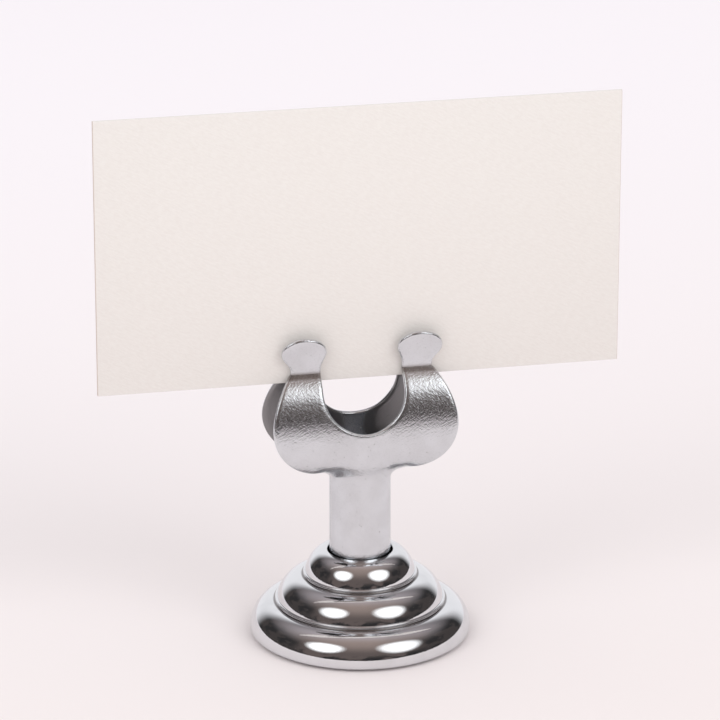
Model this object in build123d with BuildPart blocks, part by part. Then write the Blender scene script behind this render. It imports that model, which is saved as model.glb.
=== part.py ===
"""Place card holder: a spring clip of two formed steel halves on a weighted, stepped round base.

The frame: the origin is the middle of the foot on the table, +Z is up, +X runs along the card
and -Y is the front. All sizes are in millimetres.
"""

import os
from math import asin, atan2, cos, hypot, radians, sin, sqrt

from build123d import *

# Base: a pressed shell in three rounded steps, each a quarter round above a short wall
STEP_RADII = (19.0, 14.45, 9.6)
STEP_TOPS = (5.9, 10.6, 15.2)
STEP_LEDGES = (0.3, 0.3, 0.2)
ROUND_COUNT = 7
RIM_HEIGHT = 0.4
RIM_TUCK = 0.5
SHELL_GAUGE = 0.8
SOCKET_GAP = 0.35
SOCKET_DEPTH = 2.6
SOCKET_EDGE = 0.3

# Weight, pad and screw inside the base
PAD_THICKNESS = 1.2
PAD_GAP = 0.2
WEIGHT_GAP = 0.3
WEIGHT_STEPS = 2
SCREW_RADIUS = 2.0
SCREW_GAP = 0.1
SCREW_HEAD_RADIUS = 3.8
SCREW_HEAD_HEIGHT = 2.4
SCREW_HEAD_SINK = 0.2
SCREW_HEAD_CHAMFER = 0.8
SCREW_BITE = 7.0
TAP_RUNOUT = 1.0
DRIVE_WIDTH = 1.0
DRIVE_LENGTH = 4.6
DRIVE_DEPTH = 1.2
WASHER_SHY = 0.1
WASHER_GAUGE = 0.9
WASHER_SPLIT = 0.5
HEAD_GAP = 0.4
WEB_THICKNESS = 2.0

# Clip: two like halves, each one stamping of spring steel
CLIP_GAUGE = 0.9
STEM_RADIUS = 5.25
SEAM_GAP = 0.16
FOOT_REACH = 1.65
FOOT_PLAY = 0.2
FOOT_BEND = 0.2
CORE_GAP = 0.05
CORE_HEIGHT = 20.0
CORE_CHAMFER = 0.6
COLLAR_GAP = 0.15
COLLAR_WALL = 2.8
COLLAR_HEIGHT = 3.0
COLLAR_SEAT_GAP = 0.05
COLLAR_LIFT = 0.3

# Side view of a jaw: belly, pinch and flared ear
BELLY_DEPTH = 5.5
BELLY_HEIGHT = 37.3
BELLY_RADIUS = 10.7
PINCH_RISE = 10.7
PINCH_BEND = 0.8
EAR_FLARE = 2.9
EAR_LEAN = 12.0
EAR_TRIM = 1.2

# Front view of a jaw: two round lobes, a U between them and an ear on each
LOBE_X = 8.0
LOBE_RISE = 2.0
LOBE_RADIUS = 8.0
LOBE_TURN = 100.0
CROTCH_DROP = 3.0
STEM_FLARE = 0.3
U_RADIUS = 7.0
U_DROP = 2.9
NECK_WIDTH = 5.25
NECK_RISE = 3.0
EAR_SHIFT = 0.45
EAR_RISE = 4.0
EAR_HALF_WIDTH = 3.9
EAR_HALF_HEIGHT = 2.6
NECK_FILLET = 0.8
JUNCTION_FILLET = 3.0

# Card
CARD_WIDTH = 90.0
CARD_HEIGHT = 48.0
CARD_THICKNESS = 0.6
CARD_FIT = 0.03
CARD_GRIP = 1.6

# Heights of the stack inside the base, from the table up
head_bottom = PAD_THICKNESS + SCREW_HEAD_SINK
head_top = head_bottom + SCREW_HEAD_HEIGHT
web_bottom = head_top + WASHER_GAUGE
web_top = web_bottom + WEB_THICKNESS
foot_bottom = web_top + FOOT_PLAY
foot_top = foot_bottom + CLIP_GAUGE
collar_bottom = foot_top + COLLAR_LIFT

# Radii that follow the stem
bore_radius = STEM_RADIUS - CLIP_GAUGE
socket_radius = STEM_RADIUS + SOCKET_GAP
foot_radius = STEM_RADIUS + FOOT_REACH
collar_radius = STEM_RADIUS + COLLAR_GAP + COLLAR_WALL
washer_radius = SCREW_HEAD_RADIUS - WASHER_SHY

# Heights and places of the jaw that follow the belly and the pinch
pinch_height = BELLY_HEIGHT + PINCH_RISE
lobe_height = BELLY_HEIGHT + LOBE_RISE
crotch_height = lobe_height - LOBE_RADIUS - CROTCH_DROP
u_height = pinch_height - U_DROP
neck_top = pinch_height + NECK_RISE
neck_x = U_RADIUS + NECK_WIDTH
ear_x = U_RADIUS + NECK_WIDTH / 2 + EAR_SHIFT
ear_height = pinch_height + EAR_RISE
ear_end = ear_height + EAR_HALF_HEIGHT + EAR_TRIM


def step_round(step):
    """Centre and radius of a step's quarter round, in the radius and height plane."""
    inner = (*STEP_RADII[1:], socket_radius)[step] + STEP_LEDGES[step]
    bend = STEP_RADII[step] - inner
    return (inner, STEP_TOPS[step] - bend), bend


def draw_steps(inset, turns):
    """Draw the stepped side of the base moved in by a distance, with points at these turns of each round."""
    points = [(0, RIM_HEIGHT), (STEP_RADII[0] - RIM_TUCK - inset, RIM_HEIGHT)]
    for step, top in enumerate(STEP_TOPS):
        centre, bend = step_round(step)
        for turn in turns:
            across = (bend - inset) * cos(radians(turn))
            above = (bend - inset) * sin(radians(turn))
            points.append((centre[0] + across, centre[1] + above))
        corner = STEP_RADII[step + 1] - inset if step + 1 < len(STEP_RADII) else 0
        points.append((corner, top - inset))
    Polyline(*points, close=True)


round_turns = [90 * run / ROUND_COUNT for run in range(ROUND_COUNT + 1)]
lining_turns = [0, 90]

with BuildPart() as base_shell:
    with BuildSketch(Plane.XZ):
        with BuildLine():
            draw_steps(0, round_turns)
        make_face()
        with BuildLine():
            draw_steps(SHELL_GAUGE, lining_turns)
        make_face(mode=Mode.SUBTRACT)
        with Locations((socket_radius, STEP_TOPS[-1])):
            Rectangle(SHELL_GAUGE, SOCKET_DEPTH, align=(Align.MIN, Align.MAX))
        Rectangle(socket_radius, STEP_TOPS[-1], align=(Align.MIN, Align.MIN), mode=Mode.SUBTRACT)
    revolve(axis=Axis.Z)
    socket_edges = base_shell.edges().filter_by(GeomType.CIRCLE)
    socket_edges = socket_edges.filter_by(lambda e: abs(e.radius - socket_radius) < 1e-4)
    chamfer(socket_edges.sort_by(Axis.Z)[-1], SOCKET_EDGE)
base_shell.part.label = "base_shell"

with BuildPart() as foot_pad:
    with BuildSketch():
        Circle(STEP_RADII[0] - RIM_TUCK - SHELL_GAUGE - PAD_GAP)
    extrude(amount=PAD_THICKNESS)
foot_pad.part.label = "foot_pad"

with BuildPart() as weight:
    for step in range(WEIGHT_STEPS):
        with BuildSketch(Plane.XY.offset(PAD_THICKNESS)):
            Circle(step_round(step)[0][0] - WEIGHT_GAP)
        extrude(amount=STEP_TOPS[step] - SHELL_GAUGE - WEIGHT_GAP - PAD_THICKNESS)
    with BuildSketch(Plane.XY.offset(PAD_THICKNESS)):
        Circle(SCREW_HEAD_RADIUS + HEAD_GAP)
    extrude(amount=web_bottom - PAD_THICKNESS, mode=Mode.SUBTRACT)
    with BuildSketch(Plane.XY.offset(web_bottom)):
        Circle(SCREW_RADIUS + SCREW_GAP)
    extrude(amount=WEB_THICKNESS, mode=Mode.SUBTRACT)
    with BuildSketch(Plane.XY.offset(web_top)):
        Circle(foot_radius + FOOT_PLAY)
    extrude(amount=STEP_TOPS[-1], mode=Mode.SUBTRACT)
    with BuildSketch(Plane.XY.offset(collar_bottom)):
        Circle(collar_radius + COLLAR_SEAT_GAP)
    extrude(amount=STEP_TOPS[-1], mode=Mode.SUBTRACT)
weight.part.label = "weight"

with BuildPart() as stem_core:
    with BuildSketch(Plane.XY.offset(web_top)):
        Circle(bore_radius - CORE_GAP)
    extrude(amount=CORE_HEIGHT)
    chamfer(stem_core.edges().sort_by(Axis.Z)[-1], CORE_CHAMFER)
    with BuildSketch(Plane.XY.offset(web_top)):
        Circle(SCREW_RADIUS + SCREW_GAP)
    extrude(amount=SCREW_BITE + TAP_RUNOUT, mode=Mode.SUBTRACT)
stem_core.part.label = "stem_core"

with BuildPart() as base_screw:
    with BuildSketch(Plane.XY.offset(head_bottom)):
        Circle(SCREW_HEAD_RADIUS)
    extrude(amount=SCREW_HEAD_HEIGHT)
    chamfer(base_screw.edges().sort_by(Axis.Z)[0], SCREW_HEAD_CHAMFER)
    with BuildSketch(Plane.XY.offset(head_bottom)):
        Rectangle(DRIVE_LENGTH, DRIVE_WIDTH)
        Rectangle(DRIVE_WIDTH, DRIVE_LENGTH)
    extrude(amount=DRIVE_DEPTH, mode=Mode.SUBTRACT)
    with BuildSketch(Plane.XY.offset(head_top)):
        Circle(SCREW_RADIUS)
    extrude(amount=web_top - head_top + SCREW_BITE)
base_screw.part.label = "base_screw"

with BuildPart() as lock_washer:
    with BuildSketch(Plane.XY.offset(head_top)):
        Circle(washer_radius)
        Circle(SCREW_RADIUS + SCREW_GAP, mode=Mode.SUBTRACT)
        Rectangle(WASHER_SPLIT, 2 * washer_radius, align=(Align.CENTER, Align.MIN), mode=Mode.SUBTRACT)
    extrude(amount=WASHER_GAUGE)
lock_washer.part.label = "lock_washer"

with BuildPart() as retaining_collar:
    with BuildSketch(Plane.XY.offset(collar_bottom)):
        Circle(collar_radius)
        Circle(STEM_RADIUS + COLLAR_GAP, mode=Mode.SUBTRACT)
    extrude(amount=COLLAR_HEIGHT)
retaining_collar.part.label = "retaining_collar"

# Side view of the middle of the jaw sheet: belly circle, pinch circle and the line that touches both
pinch_depth = CARD_THICKNESS / 2 + CARD_FIT + CLIP_GAUGE / 2
belly_y = BELLY_RADIUS - BELLY_DEPTH
pinch_y = -pinch_depth - PINCH_BEND
reach = belly_y - pinch_y
slope = asin((BELLY_RADIUS + PINCH_BEND) / hypot(reach, PINCH_RISE)) - atan2(reach, PINCH_RISE)
lean = radians(EAR_LEAN)
belly_foot = (belly_y, BELLY_HEIGHT - BELLY_RADIUS)
belly_side = (-BELLY_DEPTH, BELLY_HEIGHT)
rise_start = (belly_y - BELLY_RADIUS * cos(slope), BELLY_HEIGHT + BELLY_RADIUS * sin(slope))
rise_end = (pinch_y + PINCH_BEND * cos(slope), pinch_height - PINCH_BEND * sin(slope))
pinch_side = (-pinch_depth, pinch_height)
ear_start = (pinch_y + PINCH_BEND * cos(lean), pinch_height + PINCH_BEND * sin(lean))


def arch_top(stem_radius, sheet_side):
    """Where the front of the stem runs into the belly, on one side of the sheet."""
    radius = BELLY_RADIUS + sheet_side
    return (0, -stem_radius, BELLY_HEIGHT - sqrt(radius**2 - (belly_y + stem_radius) ** 2))


# Half of the split stem with its turned-out foot, cut away inside the belly
with BuildPart() as clip_stem:
    with BuildSketch(Plane.XZ) as stem_section:
        with Locations((-bore_radius, foot_bottom)):
            Rectangle(CLIP_GAUGE, BELLY_HEIGHT - foot_bottom, align=(Align.MAX, Align.MIN))
            Rectangle(foot_radius - bore_radius, CLIP_GAUGE, align=(Align.MAX, Align.MIN))
        bend = stem_section.vertices().sort_by_distance((-STEM_RADIUS, foot_top))[0]
        chamfer(bend, FOOT_BEND)
    revolve(axis=Axis.Z, revolution_arc=180)
    with BuildSketch(Plane.YZ):
        with BuildLine():
            RadiusArc(belly_foot, belly_side, BELLY_RADIUS)
            Polyline(belly_side, (belly_y, BELLY_HEIGHT), belly_foot)
        make_face()
    extrude(amount=STEM_RADIUS, both=True, mode=Mode.SUBTRACT)

with BuildPart() as front_clip:
    with BuildSketch(Plane.YZ):
        with BuildLine():
            ThreePointArc(belly_foot, belly_side, rise_start)
            Line(rise_start, rise_end)
            ThreePointArc(rise_end, pinch_side, ear_start)
            TangentArc(ear_start, (-EAR_FLARE, ear_end), tangent=(-sin(lean), cos(lean)))
            offset(amount=CLIP_GAUGE / 2, side=Side.BOTH)
        make_face()
    extrude(amount=LOBE_X + LOBE_RADIUS, both=True)
    with BuildSketch(Plane.XY):
        Circle(bore_radius)
    extrude(amount=BELLY_HEIGHT, mode=Mode.SUBTRACT)
    add(clip_stem)
    with BuildSketch(Plane.XZ.offset(SEAM_GAP / 2)):
        Rectangle(4 * (LOBE_X + LOBE_RADIUS), 4 * ear_end)
    extrude(amount=-4 * BELLY_RADIUS, mode=Mode.SUBTRACT)
    inner_arch = front_clip.edges().sort_by_distance(arch_top(bore_radius, -CLIP_GAUGE / 2))[0]
    fillet(inner_arch, JUNCTION_FILLET)
    outer_arch = front_clip.edges().sort_by_distance(arch_top(STEM_RADIUS, CLIP_GAUGE / 2))[0]
    fillet(outer_arch, JUNCTION_FILLET)
    with BuildSketch(Plane.XZ) as outline:
        with BuildLine():
            flare_x = STEM_RADIUS + STEM_FLARE
            crotch = EllipticalCenterArc(
                (LOBE_X, crotch_height),
                LOBE_X - flare_x,
                CROTCH_DROP,
                start_angle=90,
            )
            lobe = CenterArc((LOBE_X, lobe_height), LOBE_RADIUS, -90, LOBE_TURN)
            flank = TangentArc(lobe @ 1, (neck_x, pinch_height), tangent=lobe % 1)
            Polyline(
                flank @ 1,
                (neck_x, neck_top),
                (0, neck_top),
                (0, 0),
                (collar_radius, 0),
                (collar_radius, collar_bottom),
                (flare_x, collar_bottom),
                crotch @ 1,
            )
        make_face()
        mirror(about=Plane.YZ)
        with Locations((0, u_height)):
            Circle(U_RADIUS, mode=Mode.SUBTRACT)
            Rectangle(2 * U_RADIUS, ear_end, align=(Align.CENTER, Align.MIN), mode=Mode.SUBTRACT)
        with Locations((-ear_x, ear_height), (ear_x, ear_height)):
            Ellipse(EAR_HALF_WIDTH, EAR_HALF_HEIGHT)
        necks = outline.vertices().filter_by_position(
            Axis.Y, pinch_height, ear_height, inclusive=(False, False)
        )
        fillet(necks, NECK_FILLET)
    extrude(amount=2 * BELLY_DEPTH, both=True, mode=Mode.INTERSECT)
front_clip.part.label = "front_clip"

with BuildPart() as rear_clip:
    add(front_clip.part.rotate(Axis.Z, 180))
rear_clip.part.label = "rear_clip"

with BuildPart() as place_card:
    with BuildSketch(Plane.XZ):
        with Locations((0, pinch_height - CARD_GRIP)):
            Rectangle(CARD_WIDTH, CARD_HEIGHT, align=(Align.CENTER, Align.MIN))
    extrude(amount=CARD_THICKNESS / 2, both=True)
place_card.part.label = "place_card"

os.makedirs("parts", exist_ok=True)
for piece in (
    base_shell,
    foot_pad,
    weight,
    stem_core,
    base_screw,
    lock_washer,
    retaining_collar,
    front_clip,
    rear_clip,
    place_card,
):
    export_step(piece.part, f"parts/{piece.part.label}.step")
    print(piece.part.label, round(piece.part.volume, 2), piece.part.is_valid)
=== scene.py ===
# %% [markdown]
# # A place card holder on a stepped base
# The real holder is two like halves of spring steel, pressed to shape and plated, that stand in a
# weighted round base and pinch a card between them. The CAD model already holds every piece in its
# place, so this lesson keeps it as a fixed frame and gives each piece the form and finish that shows.

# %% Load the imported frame
from math import acos, asin, atan2, cos, degrees, pi, radians, sin, sqrt, tan

import bmesh
import bpy
from mathutils import Matrix, Vector
from mathutils.geometry import interpolate_bezier


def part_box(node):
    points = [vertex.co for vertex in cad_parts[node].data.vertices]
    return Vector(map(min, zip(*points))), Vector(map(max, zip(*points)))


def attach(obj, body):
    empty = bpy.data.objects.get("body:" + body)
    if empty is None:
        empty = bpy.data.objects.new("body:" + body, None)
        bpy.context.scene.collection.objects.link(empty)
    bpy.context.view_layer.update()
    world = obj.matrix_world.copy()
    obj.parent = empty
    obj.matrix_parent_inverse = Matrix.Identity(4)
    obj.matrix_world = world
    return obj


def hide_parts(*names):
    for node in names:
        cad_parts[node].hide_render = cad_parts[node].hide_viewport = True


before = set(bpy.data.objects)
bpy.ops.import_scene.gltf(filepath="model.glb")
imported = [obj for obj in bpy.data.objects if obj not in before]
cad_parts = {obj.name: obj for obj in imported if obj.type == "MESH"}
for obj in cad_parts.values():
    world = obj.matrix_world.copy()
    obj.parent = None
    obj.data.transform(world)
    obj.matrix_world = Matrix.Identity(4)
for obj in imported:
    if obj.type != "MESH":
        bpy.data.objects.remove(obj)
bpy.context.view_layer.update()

# %% [markdown]
# ## From a bmesh to a piece
# Every new piece goes the same way: its doubles are merged, its faces are turned outwards, and it is
# told which body carries it and which CAD node it stands for. A mesh could be drawn in Blender's
# metres at once, but a maker's drawing is in millimetres, so the sizes below are too, and one matrix
# brings each mesh to metres at the end.

# %% One way to finish a piece
MM = 0.001
MERGE = 0.002


def make_piece(name, mesh_data, body, node):
    """Turn a bmesh drawn in millimetres into a piece that stands for a CAD node."""
    bmesh.ops.remove_doubles(mesh_data, verts=mesh_data.verts, dist=MERGE)
    bmesh.ops.recalc_face_normals(mesh_data, faces=mesh_data.faces)
    bmesh.ops.transform(mesh_data, matrix=Matrix.Scale(MM, 4), verts=mesh_data.verts)
    mesh = bpy.data.meshes.new(name)
    mesh_data.to_mesh(mesh)
    mesh_data.free()
    mesh.shade_smooth()
    piece = bpy.data.objects.new(name, mesh)
    bpy.context.collection.objects.link(piece)
    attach(piece, body)
    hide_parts(node)
    print(name, len(mesh.polygons), "faces on", body)
    return piece


# %% [markdown]
# ## The base
# The base is pressed sheet in three rounded steps, polished and chromed. Stacked discs with bevelled
# edges could stand for it, but a revolved form is one side line turned about the middle, so a few
# arcs make the line and Spin turns it. Each upper step stands in a small cove with a fine bead above
# it: those are the thin bright and dark lines between the steps, and a mirror finish shows them
# however small they are.

# %% The outside of the base
TIER_RADII = (18.99, 14.45, 9.6)
TIER_TOPS = (5.9, 10.6, 15.2)
TIER_LEDGES = (0.3, 0.3, 0.2)
TIER_TUCK = 0.6
TIER_STEPS = 24
RIM_HEIGHT = 0.4
RIM_TUCK = 0.7
RIM_STEPS = 8
COVE = 0.3
COVE_STEPS = 6
BEAD = 0.2
BEAD_START = -60
BEAD_END = 75
BEAD_STEPS = 7
SOCKET = 5.6


def arc(centre, radius, start, end, count, tall=1):
    """Points of a round stretch, its angles in degrees, with both ends."""
    turns = [radians(start + (end - start) * step / count) for step in range(count + 1)]
    return [(centre[0] + radius * cos(turn), centre[1] + radius * tall * sin(turn)) for turn in turns]


def tier_round(tier):
    """Centre, width and height of the oval that rounds a tier."""
    across = (*TIER_RADII[1:], SOCKET)[tier] + TIER_LEDGES[tier]
    low = TIER_TOPS[tier - 1] - TIER_TUCK if tier else RIM_HEIGHT + RIM_TUCK
    return (across, low), TIER_RADII[tier] - across, TIER_TOPS[tier] - low


def tier_foot(tier):
    """Rim of the lowest tier, or the cove and bead where a tier stands on the one below."""
    radius = TIER_RADII[tier]
    if tier == 0:
        return arc((radius - RIM_TUCK, RIM_HEIGHT + RIM_TUCK), RIM_TUCK, -90, 0, RIM_STEPS)
    floor = TIER_TOPS[tier - 1]
    cove = arc((radius + BEAD + COVE, floor + COVE), COVE, 270, 180, COVE_STEPS)
    bead = arc((radius, floor + COVE + BEAD), BEAD, BEAD_START, BEAD_END, BEAD_STEPS)
    return cove + bead


def tier_side(tier):
    """A tier's foot and the round above it, which starts where the foot ends."""
    centre, width, height = tier_round(tier)
    foot = tier_foot(tier)
    start = asin((foot[-1][1] - centre[1]) / height) if tier else 0
    return foot + arc(centre, width, degrees(start), 90, TIER_STEPS, height / width)


tiers = range(len(TIER_RADII))
outside_line = [point for tier in tiers for point in tier_side(tier)]
print("points up the outside of the base", len(outside_line))

# %% The socket and the inside of the base
WALL = 0.8
SOCKET_EDGE = 0.25
SOCKET_STEPS = 5
SOCKET_FOOT = 12.6
INSIDE_START = 75
INSIDE_STEPS = 6


def socket_side():
    """Over the edge of the stem's hole and down to the foot of its short wall."""
    centre = (SOCKET + SOCKET_EDGE, TIER_TOPS[-1] - SOCKET_EDGE)
    edge = arc(centre, SOCKET_EDGE, 90, 180, SOCKET_STEPS)
    return edge + [(SOCKET, SOCKET_FOOT), (SOCKET + WALL, SOCKET_FOOT)]


def tier_inside(tier):
    """Under a tier's top and down the inside of its round, one wall in from the outside."""
    centre, width, height = tier_round(tier)
    start = (*TIER_RADII[1:], SOCKET + 2 * WALL)[tier] - WALL
    tall = (height - WALL) / (width - WALL)
    top = [(start, TIER_TOPS[tier] - WALL)]
    return top + arc(centre, width - WALL, INSIDE_START, 0, INSIDE_STEPS, tall)


inside_line = [point for tier in reversed(tiers) for point in tier_inside(tier)]
rim_inside = (TIER_RADII[0] - RIM_TUCK - WALL, RIM_HEIGHT)
side_line = outside_line + socket_side() + inside_line + [rim_inside]
print("points round the wall of the base", len(side_line))

# %% Spin the base
SPIN_STEPS = 160
SHARP_ANGLE = radians(50)


def make_base():
    """Spin the closed side line into the base's shell."""
    base = bmesh.new()
    line = [base.verts.new((across, 0, height)) for across, height in side_line]
    edges = [base.edges.new((a, b)) for a, b in zip(line, line[1:] + line[:1])]
    bmesh.ops.spin(
        base,
        geom=line + edges,
        cent=(0, 0, 0),
        axis=(0, 0, 1),
        angle=2 * pi,
        steps=SPIN_STEPS,
        use_merge=True,
    )
    piece = make_piece("stepped_base", base, "base", "base_shell")
    piece.data.set_sharp_from_angle(angle=SHARP_ANGLE)
    return piece


stepped_base = make_base()

# %% [markdown]
# ## The clip halves
# Each half is one flat blank: a strip that becomes half of the round stem, and a harp of two arms
# with a U between them. It could be modelled by pulling a cage about under Subdivision Surface, but
# the pinch has to meet the card within hundredths of a millimetre. So the mesh is made as a press
# makes the piece: a flat grid laid out on the blank, then every point carried to the formed sheet,
# then the sheet's thickness. The side view of the form is a chain of rounds that touch: a long belly
# that is tighter underneath, a roll inwards, and a small fold at the pinch, above which the ear leans
# out.

# %% Where the rounds of the side view touch
BELLY_DEPTH = 5.5
BELLY_HEIGHT = 35.5
BELLY_RADIUS = 21.3
UNDER_RADIUS = 8.5
ROLL_RADIUS = 10.0
FOLD_RADIUS = 0.55
PINCH_HEIGHT = 48.0
PINCH_DEPTH = 0.78
EAR_LEAN = radians(12)

under_middle = Vector((BELLY_DEPTH - UNDER_RADIUS, BELLY_HEIGHT))
belly_middle = Vector((BELLY_DEPTH - BELLY_RADIUS, BELLY_HEIGHT))
fold_middle = Vector((PINCH_DEPTH + FOLD_RADIUS, PINCH_HEIGHT))

# The roll touches the belly from inside and the fold from outside, so its middle is the third
# corner of a triangle whose three sides are known
reach = fold_middle - belly_middle
to_roll = BELLY_RADIUS - ROLL_RADIUS
roll_to_fold = ROLL_RADIUS + FOLD_RADIUS
roll_corner = acos((to_roll**2 + reach.length_squared - roll_to_fold**2) / (2 * to_roll * reach.length))
roll_turn = atan2(reach[1], reach[0]) - roll_corner
roll_middle = belly_middle + to_roll * Vector((cos(roll_turn), sin(roll_turn)))
roll_foot = BELLY_HEIGHT + BELLY_RADIUS * sin(roll_turn)
fold_foot = PINCH_HEIGHT - (PINCH_HEIGHT - roll_middle[1]) * FOLD_RADIUS / roll_to_fold
fold_top = PINCH_HEIGHT + FOLD_RADIUS * sin(EAR_LEAN)
print("the rounds change at heights", [round(height, 2) for height in (roll_foot, fold_foot, fold_top)])

# %% The side view of a jaw
EAR_FLARE = 2.9
EAR_END = 55.8


def round_depth(middle, radius, height, side=1):
    """How far a round stands off the card's plane: its front for a side of 1, its back for -1."""
    return middle[0] + side * sqrt(max(radius**2 - (height - middle[1]) ** 2, 0))


def ear_depth(height):
    """How far the ear stands off the card's plane: it leans out and curls more towards its end."""
    foot = round_depth(fold_middle, FOLD_RADIUS, fold_top, -1)
    length = EAR_END - fold_top
    lean = (height - fold_top) * tan(EAR_LEAN)
    curl = EAR_FLARE - foot - length * tan(EAR_LEAN)
    return foot + lean + curl * ((height - fold_top) / length) ** 2


def jaw_depth(height):
    """How far the middle of the sheet stands off the card's plane at a height."""
    if height < BELLY_HEIGHT:
        return round_depth(under_middle, UNDER_RADIUS, height)
    if height < roll_foot:
        return round_depth(belly_middle, BELLY_RADIUS, height)
    if height < fold_foot:
        return round_depth(roll_middle, ROLL_RADIUS, height)
    if height < fold_top:
        return round_depth(fold_middle, FOLD_RADIUS, height, -1)
    return ear_depth(height)


depths = [round(jaw_depth(height), 2) for height in (BELLY_HEIGHT, roll_foot, PINCH_HEIGHT, EAR_END)]
print("belly, roll, pinch and ear stand off the card by", depths)

# %% [markdown]
# ## From the stem into the jaw
# The stem is half a tube and the jaw is a bellied sheet, and on the real stamping one flows into the
# other. Two meshes joined with a bevel would show a seam in the mirror. Instead, both places are
# worked out for every point of the blank: round the tube low down, straight forward to the belly
# higher up, with an easy change between. Where the tube runs up into the belly, the two depths are
# joined with a rounded corner, so that the stem fades out as a soft rib.

# %% Carry a point of the blank to the formed sheet
GAUGE = 0.9
STEM_RADIUS = 5.25
SEAM_GAP = 0.16
FLOW = 3.0
FLARE = 1.5
FLARE_TOP = 32.5
FLARE_FOOT = 28.5
stem_middle = STEM_RADIUS - GAUGE / 2
stem_reach = stem_middle * pi / 2 - SEAM_GAP / 2


def ease(value, start, end):
    """A smooth change from 0 at start to 1 at end."""
    share = min(max((value - start) / (end - start), 0), 1)
    return share * share * (3 - 2 * share)


def jaw_front(across, height):
    """Depth of the jaw: the belly's or the stem's, the further one, with a rounded corner between."""
    stem = sqrt(max(stem_middle**2 - across**2, 0)) - max(across - stem_middle, 0)
    belly = jaw_depth(height)
    overlap = max(FLOW - abs(stem - belly), 0) / FLOW
    return max(stem, belly) + overlap * overlap * FLOW / 4


def form(across, height):
    """Where the press carries a point of the blank, front half."""
    turn = min(across, stem_reach) / stem_middle
    tube = Vector((stem_middle * sin(turn), -stem_middle * cos(turn), height))
    jaw = Vector((across, -jaw_front(across, height), height))
    on_stem = ease(height, FLARE_TOP, FLARE_FOOT) * ease(across, stem_reach + FLARE, stem_reach)
    return jaw.lerp(tube, on_stem)


seam = form(stem_reach, FLARE_FOOT)
print("the seam runs at", [round(v, 2) for v in seam.xy])

# %% [markdown]
# ## The outline of the blank
# The outline is drawn once, for the right half, as two lines that run side by side: the inner one
# round the U and up the inside of the ear, the outer one from the stem round the lobe and up the
# outside of the ear. A filled curve would leave long triangles that bend badly. So the points are
# paired off between the two lines, more closely at the pinch, where the bend is sharp, and at every
# edge of the sheet, which tumbling has worn half round.

# %% Points across the stem
EDGE_ROUND = 0.4
EDGE_COLUMNS = 4
STEM_COLUMNS = 16
edge_steps = [EDGE_ROUND * (1 - cos(pi / 2 * step / EDGE_COLUMNS)) for step in range(EDGE_COLUMNS + 1)]


def stem_across(column):
    """How far round the stem's half tube a column lies, closer together at the seam."""
    from_seam = STEM_COLUMNS - column
    if from_seam < EDGE_COLUMNS:
        return stem_reach - edge_steps[from_seam]
    return (stem_reach - EDGE_ROUND) * column / (STEM_COLUMNS - EDGE_COLUMNS)


print("columns next to an edge lie in by", [round(step, 3) for step in edge_steps])

# %% The ear's oval and the neck below it
EAR_X = 10.0
EAR_HEIGHT = 52.0
EAR_HALF_WIDTH = 3.9
EAR_HALF_HEIGHT = 2.75
EAR_TURN = 15
EAR_SHOULDER = 50
EAR_STEPS = 8
NECK_TOP = 48.7
NECK_STEPS = 6
SHOULDER_STEPS = 8


def ear_point(turn):
    """A point on the ear's oval, its turn in degrees."""
    angle = radians(turn)
    return (EAR_X + EAR_HALF_WIDTH * cos(angle), EAR_HEIGHT + EAR_HALF_HEIGHT * sin(angle))


def ear_side(side):
    """Points up one side of the ear's oval, right for 1 and left for -1, closer together at the top."""
    top = EAR_HALF_HEIGHT * sin(radians(EAR_SHOULDER))
    ends = [degrees(asin((top - step) / EAR_HALF_HEIGHT)) for step in reversed(edge_steps)]
    turns = [-EAR_TURN + (ends[0] + EAR_TURN) * step / EAR_STEPS for step in range(EAR_STEPS)] + ends
    return [ear_point(turn if side > 0 else 180 - turn) for turn in turns]


def bezier(start, start_handle, end_handle, end, count):
    """Points of a smooth curve between two ends."""
    points = [Vector((*point, 0)) for point in (start, start_handle, end_handle, end)]
    return [(point[0], point[1]) for point in interpolate_bezier(*points, count + 1)]


def upright(across, low, high, count):
    """Points up a straight line."""
    return [(across, low + (high - low) * step / count) for step in range(count + 1)]


def neck_and_ear(across, side, rise, pull):
    """Up one side of the neck, over a smooth shoulder and up the ear."""
    neck = upright(across, PINCH_HEIGHT, NECK_TOP, NECK_STEPS)
    ear = ear_side(side)
    neck_handle = (across, NECK_TOP + rise)
    ear_handle = (ear[0][0] + pull[0], ear[0][1] + pull[1])
    shoulder = bezier(neck[-1], neck_handle, ear_handle, ear[0], SHOULDER_STEPS)
    return neck[:-1] + shoulder[:-1] + ear


print("the ear's shoulder lies at", [round(v, 2) for v in ear_point(EAR_SHOULDER)])

# %% The outer line
STEM_TOP = 30.5
CROTCH_DROP = 0.1
CROTCH_RUN = 1.0
CROTCH_STEPS = 6
LOBE_X = 8.0
LOBE_HEIGHT = 39.3
LOBE_RADIUS = 8.0
LOBE_START = -80
LOBE_END = 10.0
LOBE_STEPS = 24
NECK_X = 12.25
ARM_STEPS = 40
FINE_STEPS = 400
OUTER_RISE = 1.0
OUTER_PULL = (-0.45, -1.1)


def crowd(points):
    """Pick points along a finely drawn arm so that they crowd towards the pinch at its end."""
    last = len(points) - 1
    return [points[round(last * (1 - (1 - step / ARM_STEPS) ** 2))] for step in range(ARM_STEPS + 1)]


def flank(start):
    """The long round that leaves the lobe smoothly and ends at the pinch."""
    chord = Vector((NECK_X - start[0], PINCH_HEIGHT - start[1]))
    inward = -Vector((cos(radians(LOBE_END)), sin(radians(LOBE_END))))
    radius = chord.length_squared / (2 * chord.dot(inward))
    centre = Vector(start) + inward * radius
    end = atan2(PINCH_HEIGHT - centre[1], NECK_X - centre[0])
    return arc(centre, radius, LOBE_END, degrees(end), FINE_STEPS)


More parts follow.
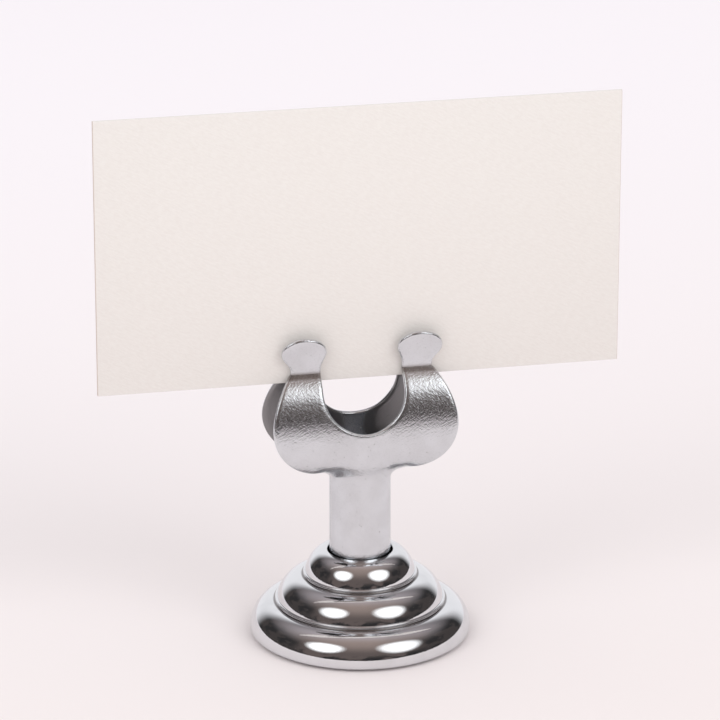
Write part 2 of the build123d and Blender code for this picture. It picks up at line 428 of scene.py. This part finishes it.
def outer_line():
    """The outer side of the right half: stem, crotch, lobe, flank, neck and ear."""
    corner = (stem_reach, STEM_TOP)
    lobe = arc((LOBE_X, LOBE_HEIGHT), LOBE_RADIUS, LOBE_START, LOBE_END, LOBE_STEPS)
    foot = lobe[0]
    low = foot[1] - CROTCH_DROP
    return (
        [(stem_across(column), STEM_TOP) for column in range(STEM_COLUMNS)]
        + bezier(corner, (corner[0], low), (foot[0] - CROTCH_RUN, low), foot, CROTCH_STEPS)[:-1]
        + lobe[:-1]
        + crowd(flank(lobe[-1]))[:-1]
        + neck_and_ear(NECK_X, 1, OUTER_RISE, OUTER_PULL)
    )


outer = outer_line()
print("points on the outer line", len(outer))

# %% The inner line
U_RADIUS = 7.0
U_HEIGHT = 45.1
U_STEM = -48
U_CROTCH = -36
INNER_RISE = 1.1
INNER_PULL = (0.4, -1.0)


def u_bottom(share):
    """A point round the bottom of the U, from its middle for 0 to the stem's side for 1."""
    turn = radians(-90 + (U_STEM + 90) * share)
    return (U_RADIUS * cos(turn), U_HEIGHT + U_RADIUS * sin(turn))


def inner_line():
    """The inner side of the right half, with as many points as the outer one."""
    centre = (0, U_HEIGHT)
    return (
        [u_bottom(stem_across(column) / stem_reach) for column in range(STEM_COLUMNS)]
        + arc(centre, U_RADIUS, U_STEM, U_CROTCH, CROTCH_STEPS)[:-1]
        + arc(centre, U_RADIUS, U_CROTCH, 0, LOBE_STEPS)[:-1]
        + crowd(upright(U_RADIUS, U_HEIGHT, PINCH_HEIGHT, FINE_STEPS))[:-1]
        + neck_and_ear(U_RADIUS, -1, INNER_RISE, INNER_PULL)
    )


inner = inner_line()
print("points on the inner line", len(inner))

# %% [markdown]
# ## The grids on the blank
# A grid from bmesh is a sheet of square faces, and each of its points knows its row and column. The
# jaw's grid takes its rows from the two lines, with the last rows bowed up to the ear's round top.
# The stem's grid hangs from the jaw's lowest points. One grid for both would have to squeeze the
# whole jaw's columns into the stem, so there are two, which share the points where they meet.

# %% Lay the grids on the blank
MIDDLE_COLUMNS = 16
JAW_COLUMNS = MIDDLE_COLUMNS + 2 * EDGE_COLUMNS
STEM_ROWS = 30
ROW_CROWDING = 1.5
FOOT_HEIGHT = 7.35


def row_share(column, row, length):
    """How far along a row of the jaw a column lies, from 0 at the inner line to 1 at the outer one."""
    spread = 1 + max(STEM_COLUMNS - row, 0) / EDGE_COLUMNS
    from_end = JAW_COLUMNS - column
    if column < EDGE_COLUMNS:
        return edge_steps[column] / length
    if from_end < EDGE_COLUMNS:
        return 1 - edge_steps[from_end] * spread / length
    middle = (column - EDGE_COLUMNS) / MIDDLE_COLUMNS
    return (EDGE_ROUND + (length - EDGE_ROUND * (1 + spread)) * middle) / length


def jaw_place(column, row):
    """A point of the flat jaw, its last rows bowed up to the ear's round top."""
    first, last = Vector(inner[row]), Vector(outer[row])
    across, height = first.lerp(last, row_share(column, row, (last - first).length))
    shoulder = ear_point(EAR_SHOULDER)[1]
    bow = max((first[1] - NECK_TOP) / (shoulder - NECK_TOP), 0)
    oval = sqrt(max(1 - ((across - EAR_X) / EAR_HALF_WIDTH) ** 2, 0))
    lift = EAR_HEIGHT + EAR_HALF_HEIGHT * oval - shoulder
    return across, height + max(lift, 0) * bow**2


def stem_place(column, row):
    """A point of the flat stem, its rows closer together towards the jaw."""
    drop = (1 - row / STEM_ROWS) ** ROW_CROWDING
    return stem_across(column), STEM_TOP - (STEM_TOP - FOOT_HEIGHT) * drop


top_edge = [jaw_place(column, len(inner) - 1) for column in range(JAW_COLUMNS + 1)]
sheet_edge = inner + top_edge + outer[:STEM_COLUMNS - 1:-1] + [(stem_reach, FOOT_HEIGHT)]
print("points round the edge of half a blank", len(sheet_edge))

# %% [markdown]
# ## The formed sheet
# Tumbling rounds the edge of the sheet. A Bevel on so thin a wall goes wrong at the tight bends, so the
# edge is rounded by thickness: within the last few tenths of a millimetre the sheet thins out along a
# half round, down to almost nothing at its rim. Each point keeps its share of the full thickness in a
# vertex group, and Solidify reads it. The stem's bottom edge is turned out into the foot that the base
# holds, the right half is mirrored to the left, and the whole front half is turned for the rear one.

# %% Form the grids
def edge_distance(point):
    """How far a point of the blank lies from the nearest edge of the sheet, up to the edge's round."""
    spot = Vector(point)
    nearest = EDGE_ROUND
    for start, end in zip(sheet_edge, sheet_edge[1:]):
        along = Vector(end) - Vector(start)
        if along.length > 0:
            share = min(max((spot - Vector(start)).dot(along) / along.length_squared, 0), 1)
            nearest = min(nearest, (spot - Vector(start) - along * share).length)
    return nearest


def form_grid(sheet, columns, rows, place):
    """Add a grid, carry its points to the formed sheet and note each point's share of the thickness."""
    rim = sheet.verts.layers.deform.verify()
    made = bmesh.ops.create_grid(sheet, x_segments=columns, y_segments=rows, size=1)
    for vert in made["verts"]:
        column = round((vert.co.x + 1) / 2 * columns)
        row = round((vert.co.y + 1) / 2 * rows)
        point = place(column, row)
        vert.co = form(*point)
        inward = 1 - edge_distance(point) / EDGE_ROUND
        vert[rim][0] = sqrt(max(1 - inward**2, 0))


ear_spots = ((EAR_X, EAR_HEIGHT + EAR_HALF_HEIGHT), (EAR_X, EAR_HEIGHT))
from_edge = [round(edge_distance(spot), 2) for spot in ear_spots]
print("the ear's top and middle count as", from_edge, "from the edge")

# %% Two halves from one form
FOOT_RADIUS = 6.9
THIN_RIM = 0.02


def turn_out_foot(sheet):
    """Turn the stem's lowest edge out into the foot."""
    low = [e for e in sheet.edges if all(v.co.z < FOOT_HEIGHT + MERGE for v in e.verts)]
    made = bmesh.ops.extrude_edge_only(sheet, edges=low)
    for vert in (v for v in made["geom"] if isinstance(v, bmesh.types.BMVert)):
        vert.co.xy *= FOOT_RADIUS / stem_middle


def give_thickness(piece):
    """Thicken the sheet to both sides, less towards its rounded edge."""
    thickness = piece.modifiers.new("sheet", "SOLIDIFY")
    thickness.thickness = GAUGE * MM
    thickness.offset = 0
    thickness.use_even_offset = True
    thickness.use_quality_normals = True
    thickness.vertex_group = piece.vertex_groups.new(name="rim").name
    thickness.thickness_vertex_group = THIN_RIM


def make_half(name, turn, body, node):
    """One formed half of the clip, turned about the upright axis."""
    sheet = bmesh.new()
    form_grid(sheet, JAW_COLUMNS, len(outer) - 1, jaw_place)
    form_grid(sheet, STEM_COLUMNS, STEM_ROWS, stem_place)
    bmesh.ops.remove_doubles(sheet, verts=sheet.verts, dist=MERGE)
    turn_out_foot(sheet)
    right_half = sheet.verts[:] + sheet.edges[:] + sheet.faces[:]
    bmesh.ops.mirror(sheet, geom=right_half, axis="X", merge_dist=MERGE)
    bmesh.ops.rotate(sheet, verts=sheet.verts, cent=(0, 0, 0), matrix=Matrix.Rotation(turn, 3, "Z"))
    piece = make_piece(name, sheet, body, node)
    give_thickness(piece)
    return piece


front_half = make_half("front_half", 0, "front_jaw", "front_clip")
rear_half = make_half("rear_half", pi, "rear_jaw", "rear_clip")

# %% [markdown]
# ## The card
# The card is thick cotton stock, cut square. Its edges are cut clean but never razor sharp, so they
# catch a thin line of light. A plane with Solidify would do for the sheet, but a cube scaled to the
# CAD card's own box is closed from the start, and one bevel softens all its edges by a hair. Its face
# is left blank.

# %% Cut the card
CARD_EDGE = 0.08


def make_card():
    """A plate in the CAD card's own box, with softened edges."""
    low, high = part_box("place_card")
    card = bmesh.new()
    bmesh.ops.create_cube(card, size=1)
    bmesh.ops.scale(card, vec=(high - low) / MM, verts=card.verts)
    bmesh.ops.translate(card, vec=(high + low) / 2 / MM, verts=card.verts)
    bmesh.ops.bevel(
        card,
        geom=card.edges[:],
        offset=CARD_EDGE,
        segments=2,
        profile=0.5,
        affect="EDGES",
        material=-1,
    )
    return make_piece("blank_card", card, "card", "place_card")


blank_card = make_card()

# %% [markdown]
# ## Shader sums in plain Python
# A finish is worked out from a few textures: grain, specks, smudges. The nodes could be made and
# linked one by one, but a sum of five terms would fill a page. So one small class wraps a socket:
# arithmetic on it adds Math nodes, and its node method makes any other node.

# %% A socket that can be added and multiplied
class Wire:
    """One socket of a node tree, with arithmetic."""

    def __init__(self, tree, socket=None):
        self.tree = tree
        self.socket = socket

    def node(self, kind, inputs, out=0, **settings):
        """Make a node, set it up, feed its inputs and give one of its outputs."""
        made = self.tree.nodes.new("ShaderNode" + kind)
        for setting, value in settings.items():
            setattr(made, setting, value)
        for place, value in inputs.items():
            if isinstance(value, Wire):
                self.tree.links.new(value.socket, made.inputs[place])
            else:
                made.inputs[place].default_value = value
        return Wire(self.tree, made.outputs[out])

    def __add__(self, other):
        return self.node("Math", {0: self, 1: other}, operation="ADD")

    def __mul__(self, other):
        return self.node("Math", {0: self, 1: other}, operation="MULTIPLY")

    def __sub__(self, other):
        return self.node("Math", {0: self, 1: other}, operation="SUBTRACT")

    def __rsub__(self, other):
        return self.node("Math", {0: other, 1: self}, operation="SUBTRACT")

    def __abs__(self):
        return self.node("Math", {0: self}, operation="ABSOLUTE")

    __radd__ = __add__
    __rmul__ = __mul__

    def step(self, start, end):
        """A smooth change from 0 where the value is start to 1 where it is end."""
        inputs = {"Value": self, "From Min": start, "From Max": end}
        return self.node("MapRange", inputs, interpolation_type="SMOOTHSTEP")

    def blend(self, first, second):
        """A colour that is the first where the value is 0 and the second where it is 1."""
        return self.node("Mix", {0: self, 6: first, 7: second}, out=2, data_type="RGBA")

    def axis(self, name):
        """One of the three numbers of a place."""
        return self.node("SeparateXYZ", {0: self}, out=name)

    def length(self):
        """How far a place lies from the origin."""
        return self.node("VectorMath", {0: self}, out="Value", operation="LENGTH")


# %% Start a finish, feed it and put it on
def start_finish(name, values):
    """A new material, its shader with the constant values set, and the place on the piece."""
    material = bpy.data.materials.new(name)
    material.use_nodes = True
    shader = material.node_tree.nodes["Principled BSDF"]
    for socket, value in values.items():
        shader.inputs[socket].default_value = value
    where = Wire(material.node_tree).node("TexCoord", {}, out="Object")
    return material, shader, where


def noise(where, size, detail=2.0):
    """Cloudy noise whose blots are about that many millimetres across."""
    inputs = {"Vector": where, "Scale": 1 / (size * MM), "Detail": detail}
    return where.node("TexNoise", inputs, out="Fac")


def bump(height, strength, depth):
    """Fine relief, its depth in millimetres."""
    inputs = {"Strength": strength, "Distance": depth * MM, "Height": height}
    return height.node("Bump", inputs, out="Normal")


def feed(shader, **varying):
    """Link what changes over the surface to the shader."""
    for socket, value in varying.items():
        value.tree.links.new(value.socket, shader.inputs[socket.replace("_", " ")])


def dress(piece, material):
    """Give a piece or a CAD node its finish."""
    if not piece.material_slots:
        piece.data.materials.append(material)
    for slot in piece.material_slots:
        slot.material = material
    print(piece.name, "wears", material.name)


# %% [markdown]
# ## The base's chrome
# Polished chrome is a mirror, a little blue beside silver. A metal with no roughness would be the
# quick way, and would look drawn. What makes it real is that it is not perfect: handling leaves faint
# cloudy smudges that blur the mirror, and a press leaves a very shallow waviness in the sheet. The
# polishing wheel never reaches the grooves between the steps, so they are rougher, and they are also
# painted dark, as painted shade. The grooves are found by radius and height, from the same sizes as
# the side line, so they follow it by themselves. From here on, a noise is given as a size and, where
# it matters, a detail, and a bump as a strength and a depth.

# %% Painted shade in the grooves
GROOVE_CORE = 0.08
GROOVE_EDGE = 0.34
groove_radii = [TIER_RADII[tier] + BEAD + COVE / 2 for tier in tiers[1:]]
groove_heights = [TIER_TOPS[tier - 1] + COVE / 2 for tier in tiers[1:]]


def grooves(where):
    """1 deep in the grooves where a tier stands on the one below, 0 elsewhere."""
    flat = where.node("VectorMath", {0: where, 1: (1, 1, 0)}, operation="MULTIPLY")
    from_middle = flat.length()
    z = where.axis("Z")
    dark = 0.0
    for radius, height in zip(groove_radii, groove_heights):
        out = from_middle - radius * MM
        up = z - height * MM
        away = where.node("CombineXYZ", {"X": out, "Z": up}).length()
        dark = 1 - away.step(GROOVE_CORE * MM, GROOVE_EDGE * MM) + dark
    return dark


groove_spots = [(round(out, 2), round(up, 2)) for out, up in zip(groove_radii, groove_heights)]
print("grooves at radius and height", groove_spots)

# %% Mirror chrome
BASE_CHROME = (0.745, 0.755, 0.775, 1)
BASE_SMUDGE = (0.68, 0.69, 0.71, 1)
# Painted shade: the colour that the grooves are darkened to
BASE_GROOVE_SHADE = (0.22, 0.21, 0.21, 1)
SMUDGE_NOISE = (6.0, 3.0)
SMUDGE_SHOWS = (0.45, 0.75)
SPECK_SIZE = 0.3
WAVE_NOISE = (9.0, 1.0)
WAVE_SPECKS = 0.15
WAVE_BUMP = (0.05, 0.4)
CHROME_BLUR = 0.035
SMUDGE_BLUR = 0.05
SPECK_BLUR = 0.02
GROOVE_BLUR = 0.1


def mirror_chrome():
    """Bright plating with faint smudges and specks, a shallow wave and painted shade in the grooves."""
    material, shader, where = start_finish("mirror_chrome", {"Metallic": 1.0})
    smudge = noise(where, *SMUDGE_NOISE).step(*SMUDGE_SHOWS)
    specks = noise(where, SPECK_SIZE)
    wave = noise(where, *WAVE_NOISE) + specks * WAVE_SPECKS
    # The grooves get painted shade in their colour, and more roughness
    groove = grooves(where)
    feed(
        shader,
        Base_Color=groove.blend(smudge.blend(BASE_CHROME, BASE_SMUDGE), BASE_GROOVE_SHADE),
        Roughness=CHROME_BLUR + smudge * SMUDGE_BLUR + specks * SPECK_BLUR + groove * GROOVE_BLUR,
        Normal=bump(wave, *WAVE_BUMP),
    )
    return material


dress(stepped_base, mirror_chrome())

# %% [markdown]
# ## The clip's satin plating
# The clip is plated too, but over unpolished spring steel, so it is a satin mirror. Roughness alone
# would make it look like frosted glass. Its fine grain, drawn as short strokes in two directions,
# breaks up every edge between light and dark, and here and there the plating has a pit no bigger than
# a grain of dust. The crease of the pinch and the hollow side of the jaws are painted dark, as painted
# shade, and the hollow side is a little rougher too. Both are found from the same rounds that formed
# the sheet.

# %% Where shade is painted on the clip
LOBE_FOOT = 32.0
FINISH_BLUR = 0.2
CREASE_DROP = 0.35
CREASE_CORE = 0.3
CREASE_EDGE = 1.0
crease_middle = fold_middle - Vector((0, CREASE_DROP))


def between(height, low, high):
    """1 at heights from low to high, 0 beyond them."""
    above = height.step((low - FINISH_BLUR) * MM, low * MM)
    return above * (1 - height.step((high - FINISH_BLUR) * MM, high * MM))


def side_distance(where, middle):
    """Distance from a point of the side view, the same for both halves."""
    off_card = abs(where.axis("Y")) - middle[0] * MM
    up = where.axis("Z") - middle[1] * MM
    return where.node("CombineXYZ", {"Y": off_card, "Z": up}).length()


def in_crease(where):
    """1 in the crease below the pinch, 0 away from it."""
    return 1 - side_distance(where, crease_middle).step(CREASE_CORE * MM, CREASE_EDGE * MM)


# The hollow side of the jaws gets painted shade, and a little more roughness
def inside_belly(where):
    """1 on the hollow side of the jaws, 0 on their outside, on the ears and on the stem."""
    z = where.axis("Z")
    rounds = (
        (under_middle, UNDER_RADIUS, LOBE_FOOT, BELLY_HEIGHT),
        (belly_middle, BELLY_RADIUS, BELLY_HEIGHT, roll_foot),
        (roll_middle, ROLL_RADIUS, roll_foot, fold_foot),
    )
    inside = 0.0
    for middle, radius, low, high in rounds:
        within = 1 - side_distance(where, middle).step((radius - FINISH_BLUR) * MM, radius * MM)
        inside = within * between(z, low, high) + inside
    return inside


print("the crease lies off the card and up by", [round(v, 2) for v in crease_middle])

# %% Satin plating
CLIP_BRIGHT = (0.70, 0.72, 0.75, 1)
# The pits' colour, also used for the painted shade in the crease
CLIP_PIT_AND_CREASE_SHADE = (0.30, 0.28, 0.27, 1)
# Painted shade on the hollow side of the jaws
CLIP_INSIDE_SHADE = (0.26, 0.255, 0.26, 1)
GRAIN_SIZE = 0.22
GRAIN_LENGTH = 4
GRAIN_TURNS = (radians(35), radians(-50))
GRAIN_BUMP = (0.6, 0.05)
PIT_NOISE = (0.25, 0.0)
PIT_SHOWS = (0.81, 0.86)
PIT_DARK = 0.8
DUST_SIZE = 0.22
DUST_SHOWS = (0.5, 0.75)
DUST_DARK = 0.16
CLOUD_SIZE = 4.0
CLOUD_SHOWS = (0.35, 0.65)
CLOUD_DARK = 0.1
# Painted shade: how far the crease is darkened
CREASE_SHADE = 0.85
SATIN_BLUR = 0.16
CLOUD_BLUR = 0.06
PIT_BLUR = 0.3
HOLLOW_BLUR = 0.12


def strokes(where, turn, size, length):
    """Noise drawn out into slanting strokes: it is turned first and stretched after."""
    turned = where.node("Mapping", {"Vector": where, "Rotation": (0, turn, 0)})
    drawn_out = where.node("Mapping", {"Vector": turned, "Scale": (1 / length, 1, 1)})
    return noise(drawn_out, size)


def satin_plating():
    """Plating over unpolished spring steel: grain, cloudiness, pits, and painted shade in the crease
    and jaws.
    """
    material, shader, where = start_finish("satin_plating", {"Metallic": 1.0})
    first, second = (strokes(where, turn, GRAIN_SIZE, GRAIN_LENGTH) for turn in GRAIN_TURNS)
    pits = noise(where, *PIT_NOISE).step(*PIT_SHOWS)
    dust = noise(where, DUST_SIZE).step(*DUST_SHOWS)
    cloud = noise(where, CLOUD_SIZE)
    cloudy = cloud.step(*CLOUD_SHOWS)
    inside = inside_belly(where)
    # Pits, dust and cloudiness are the plating's own marks; the crease's share is painted shade
    wear_and_crease_shade = pits * PIT_DARK + dust * DUST_DARK + cloudy * CLOUD_DARK + in_crease(where) * CREASE_SHADE
    feed(
        shader,
        # Inside the jaws the colour is painted shade
        Base_Color=inside.blend(wear_and_crease_shade.blend(CLIP_BRIGHT, CLIP_PIT_AND_CREASE_SHADE), CLIP_INSIDE_SHADE),
        Roughness=SATIN_BLUR + cloud * CLOUD_BLUR + pits * PIT_BLUR + inside * HOLLOW_BLUR,
        Normal=bump(first + second, *GRAIN_BUMP),
    )
    return material


clip_finish = satin_plating()
dress(front_half, clip_finish)
dress(rear_half, clip_finish)

# %% [markdown]
# ## The card's stock
# Cotton card is warm white and matt. Its felt side has soft hollows about half a millimetre across
# and short fibres that all slant one way, which show only as the faintest shading. Real fibres would
# be thousands of tiny meshes, so the strokes that made the clip's grain stand for them. The card's two
# cut sides are painted darker, as painted shade.

# %% Cotton card stock
CARD_WHITE = (0.81, 0.776, 0.747, 1)
CARD_SHADE = (0.78, 0.74, 0.71, 1)
# Painted shade on the card's two cut sides
CARD_SIDE_SHADE = (0.60, 0.51, 0.46, 1)
FIBRE_TURN = radians(-25)
FIBRE_SIZE = 0.3
FIBRE_LENGTH = 4
FIBRE_SHARE = 0.7
HOLLOW_SIZE = 0.5
HOLLOW_SHARE = 0.3
FELT_SHOWS = (0.3, 0.7)
FELT_BUMP = (0.3, 0.1)
card_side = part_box("place_card")[1][0]


def cotton_card():
    """Warm white card with slanting fibres, and painted shade on its two narrow sides."""
    values = {"Specular IOR Level": 0.2, "Roughness": 0.9}
    material, shader, where = start_finish("cotton_card", values)
    fibres = strokes(where, FIBRE_TURN, FIBRE_SIZE, FIBRE_LENGTH)
    felt = fibres * FIBRE_SHARE + noise(where, HOLLOW_SIZE) * HOLLOW_SHARE
    face = felt.step(*FELT_SHOWS).blend(CARD_SHADE, CARD_WHITE)
    # The two cut sides get painted shade
    side_shade = abs(where.axis("X")).step(card_side - 2 * CARD_EDGE * MM, card_side)
    feed(shader, Base_Color=side_shade.blend(face, CARD_SIDE_SHADE), Normal=bump(felt, *FELT_BUMP))
    return material


dress(blank_card, cotton_card())

# %% [markdown]
# ## What the base hides
# The pieces in and under the base keep their CAD shapes, which are true already. Each still gets its
# own finish, so that the holder also looks right when it is taken apart: turned steel for the core,
# collar, screw and washer, rough cast iron for the weight, and soft foam for the foot pad. One
# texture gives the relief of each, and one blend of two colours is enough.

# %% Turned steel
STEEL_LIGHT = (0.56, 0.55, 0.54, 1)
STEEL_DARK = (0.40, 0.39, 0.38, 1)
RING_STRETCH = (0.1, 0.1, 1)
RING_NOISE = (0.12, 1.0)
RING_SHOWS = (0.3, 0.7)
RING_BUMP = (0.3, 0.04)
STEEL_BLUR = 0.28
STAIN_SIZE = 3.0
STAIN_BLUR = 0.15


def turned_steel():
    """Steel with the fine rings of a lathe."""
    material, shader, where = start_finish("turned_steel", {"Metallic": 1.0})
    flat = where.node("Mapping", {"Vector": where, "Scale": RING_STRETCH})
    rings = noise(flat, *RING_NOISE)
    feed(
        shader,
        Base_Color=rings.step(*RING_SHOWS).blend(STEEL_DARK, STEEL_LIGHT),
        Roughness=STEEL_BLUR + noise(where, STAIN_SIZE) * STAIN_BLUR,
        Normal=bump(rings, *RING_BUMP),
    )
    return material


steel = turned_steel()
for node in ("stem_core", "retaining_collar", "base_screw", "lock_washer"):
    dress(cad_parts[node], steel)

# %% Cast iron
IRON_GREY = (0.10, 0.10, 0.105, 1)
IRON_RUST = (0.14, 0.085, 0.055, 1)
LUMP_NOISE = (0.7, 4.0)
LUMP_BUMP = (0.6, 0.3)
RUST_NOISE = (5.0, 3.0)
RUST_SHOWS = (0.55, 0.7)
IRON_BLUR = 0.6
LUMP_BLUR = 0.3


def cast_iron():
    """Rough grey iron with a little rust."""
    material, shader, where = start_finish("cast_iron", {"Metallic": 0.6})
    lumps = noise(where, *LUMP_NOISE)
    rust = noise(where, *RUST_NOISE).step(*RUST_SHOWS)
    feed(
        shader,
        Base_Color=rust.blend(IRON_GREY, IRON_RUST),
        Roughness=IRON_BLUR + lumps * LUMP_BLUR,
        Normal=bump(lumps, *LUMP_BUMP),
    )
    return material


dress(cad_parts["weight"], cast_iron())

# %% Foam
FOAM_DARK = (0.018, 0.018, 0.02, 1)
FOAM_PALE = (0.045, 0.044, 0.045, 1)
CELL_SIZE = 0.35
CELL_SHOWS = (0.1, 0.6)
CELL_BUMP = (0.6, 0.1)


def foot_foam():
    """Dark foam with open cells."""
    material, shader, where = start_finish("foot_foam", {"Roughness": 0.95})
    cells = where.node("TexVoronoi", {"Vector": where, "Scale": 1 / (CELL_SIZE * MM)}, out="Distance")
    feed(
        shader,
        Base_Color=cells.step(*CELL_SHOWS).blend(FOAM_DARK, FOAM_PALE),
        Normal=bump(cells, *CELL_BUMP),
    )
    return material


dress(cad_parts["foot_pad"], foot_foam())

# %% [markdown]
# ## The floor
# The holder stood on a pale sheet, warm near the camera and cooler towards the back. A curved sweep
# would hide the horizon, but here the world behind has nearly the floor's colour, so a wide plane is
# enough. It belongs to the stage and not to the part.

# %% Floor
FLOOR_NEAR = (0.885, 0.815, 0.815, 1)
FLOOR_FAR = (0.975, 0.925, 0.965, 1)
FLOOR_HALF = 2.0
FLOOR_COOLS = (-0.1, 0.4)


def make_floor():
    """A wide pale sheet, a little warmer towards the front."""
    sheet = bmesh.new()
    bmesh.ops.create_grid(sheet, x_segments=1, y_segments=1, size=FLOOR_HALF)
    mesh = bpy.data.meshes.new("floor")
    sheet.to_mesh(mesh)
    sheet.free()
    floor = bpy.data.objects.new("floor", mesh)
    bpy.context.collection.objects.link(floor)
    values = {"Roughness": 0.9, "Specular IOR Level": 0.1}
    material, shader, where = start_finish("floor_sheet", values)
    feed(shader, Base_Color=where.axis("Y").step(*FLOOR_COOLS).blend(FLOOR_NEAR, FLOOR_FAR))
    dress(floor, material)


make_floor()

# %% [markdown]
# ## The soft boxes
# Two round soft boxes stood in front, one to each side of the camera. An area lamp alone would show in
# the chrome as a hard disc, and a real soft box fades towards its rim. So each box is made twice, in
# the same place: a lamp that lights the holder and that metal doesn't mirror, and further down a soft
# bright round in the room, which is what metal mirrors instead.

# %% Soft boxes
VIEW_AZIMUTH = radians(12)
BOXES = ((radians(-43), 1.2), (radians(49), 1.38))
BOX_HEIGHT = radians(38.5)
BOX_DISTANCE = 2.0
BOX_GLOW = 2.0


def box_away(turn):
    """The way from the holder to a soft box that is turned to one side of the camera."""
    angle = VIEW_AZIMUTH - turn
    return Vector((-cos(BOX_HEIGHT) * sin(angle), -cos(BOX_HEIGHT) * cos(angle), sin(BOX_HEIGHT)))


def make_soft_box(turn, width):
    """The lamp of a soft box, as bright as the round that metal mirrors."""
    lamp = bpy.data.lights.new("soft_box", "AREA")
    lamp.shape = "DISK"
    lamp.size = width
    area = pi * (width / 2) ** 2
    lamp.energy = BOX_GLOW * pi * area
    box = bpy.data.objects.new("soft_box", lamp)
    bpy.context.collection.objects.link(box)
    box.visible_glossy = False
    away = box_away(turn)
    box.location = away * BOX_DISTANCE
    box.rotation_euler = away.to_track_quat("Z", "Y").to_euler()
    print(box.name, "of", width, "m gives", round(lamp.energy, 1), "W")


for turn, width in BOXES:
    make_soft_box(turn, width)

# %% [markdown]
# ## The room
# Mirror metal is mostly a picture of the room. A photographed room would be an image file, and this
# script reads none, so the world's own nodes draw one: dark brown with black blotches towards the
# camera, nearly black at the sides, a paler ceiling, a white back wall, and the two soft boxes. The
# camera itself sees a plain pale backdrop, and everything matt gets an even light.

# %% The walls that metal mirrors
ROOM_WHITE = (0.99, 0.98, 1.0, 1)
ROOM_BROWN = (0.15, 0.12, 0.112, 1)
ROOM_BLACK = (0.035, 0.033, 0.034, 1)
ROOM_CEILING = (0.42, 0.33, 0.295, 1)
ROOM_PALE = (0.60, 0.54, 0.56, 1)
BLOTCHES = {"Scale": 3.5, "Detail": 4.0}
BLOTCH_SHOWS = (0.44, 0.56)
BLOTCH_ENDS = (0.1, 0.4)
AHEAD = (0.15, 0.55)
SIDE_BROWN = 0.3
CEILING_WARMS = (-0.5, 0.4)
CEILING_STARTS = (0.4, 1.1)
BACK_ENDS = (-0.85, -0.6)
BACK_TOP = (0.5, 0.8)


def room_walls(where):
    """The room without its soft boxes, seen from the holder."""
    z = where.axis("Z")
    front = where.axis("X") * -sin(VIEW_AZIMUTH) + where.axis("Y") * -cos(VIEW_AZIMUTH)
    blotch = where.node("TexNoise", {"Vector": where, **BLOTCHES}, out="Fac").step(*BLOTCH_SHOWS)
    ahead = front.step(*AHEAD)
    low_blotch = blotch * (1 - z.step(*BLOTCH_ENDS))
    brown = ahead * (1 - low_blotch) + (1 - ahead) * blotch * SIDE_BROWN
    wall = brown.blend(ROOM_BLACK, ROOM_BROWN)
    ceiling = front.step(*CEILING_WARMS).blend(ROOM_PALE, ROOM_CEILING)
    back = (1 - front.step(*BACK_ENDS)) * (1 - z.step(*BACK_TOP))
    return back.blend(z.step(*CEILING_STARTS).blend(wall, ceiling), ROOM_WHITE)


# %% Room
BOX_WHITE = (BOX_GLOW, BOX_GLOW, BOX_GLOW, 1)
BOX_CORE = 0.4
BOX_RIM = 1.3
BACKDROP = (0.96, 0.92, 0.94, 1)
ROOM_LIGHT = (0.82, 0.82, 0.82, 1)


def make_room():
    """Walls and soft boxes for what metal mirrors, a backdrop for the camera, light for the rest."""
    world = bpy.data.worlds.new("room")
    bpy.context.scene.world = world
    world.use_nodes = True
    where = Wire(world.node_tree).node("TexCoord", {}, out="Generated")
    room = room_walls(where)
    for turn, width in BOXES:
        inputs = {0: where, 1: box_away(turn)}
        facing = where.node("VectorMath", inputs, out="Value", operation="DOT_PRODUCT")
        half = atan2(width / 2, BOX_DISTANCE)
        room = facing.step(cos(half * BOX_RIM), cos(half * BOX_CORE)).blend(room, BOX_WHITE)
    glossy = where.node("LightPath", {}, out="Is Glossy Ray")
    through_glass = where.node("LightPath", {}, out="Is Transmission Ray")
    to_camera = where.node("LightPath", {}, out="Is Camera Ray")
    light = (glossy + through_glass).blend(ROOM_LIGHT, room)
    feed(world.node_tree.nodes["Background"], Color=to_camera.blend(light, BACKDROP))
    print(world.name, "drawn by", len(world.node_tree.nodes), "nodes")


make_room()

# %% [markdown]
# ## The camera
# The photograph was taken from a little to the left and above with a long lens, so near and far
# parts are almost the same size. The camera could be aimed at the holder by a constraint, but its
# tilt places the holder in the picture. So distance, height and tilt are plain values, found by lining
# up the base's rings.

# %% Camera
VIEW_ELEVATION = radians(23.05)
VIEW_DISTANCE = 0.797
VIEW_PITCH = radians(19.70)
LENS = 230
SENSOR = 36

camera = bpy.data.cameras.new("camera")
camera.lens = LENS
camera.sensor_width = SENSOR
view = bpy.data.objects.new("camera", camera)
bpy.context.collection.objects.link(view)
level = VIEW_DISTANCE * cos(VIEW_ELEVATION)
above = VIEW_DISTANCE * sin(VIEW_ELEVATION)
view.location = (-level * sin(VIEW_AZIMUTH), -level * cos(VIEW_AZIMUTH), above)
view.rotation_euler = (pi / 2 - VIEW_PITCH, 0, -VIEW_AZIMUTH)
bpy.context.scene.camera = view
bpy.context.scene.view_settings.view_transform = "Standard"
print("camera at", [round(v, 3) for v in view.location])
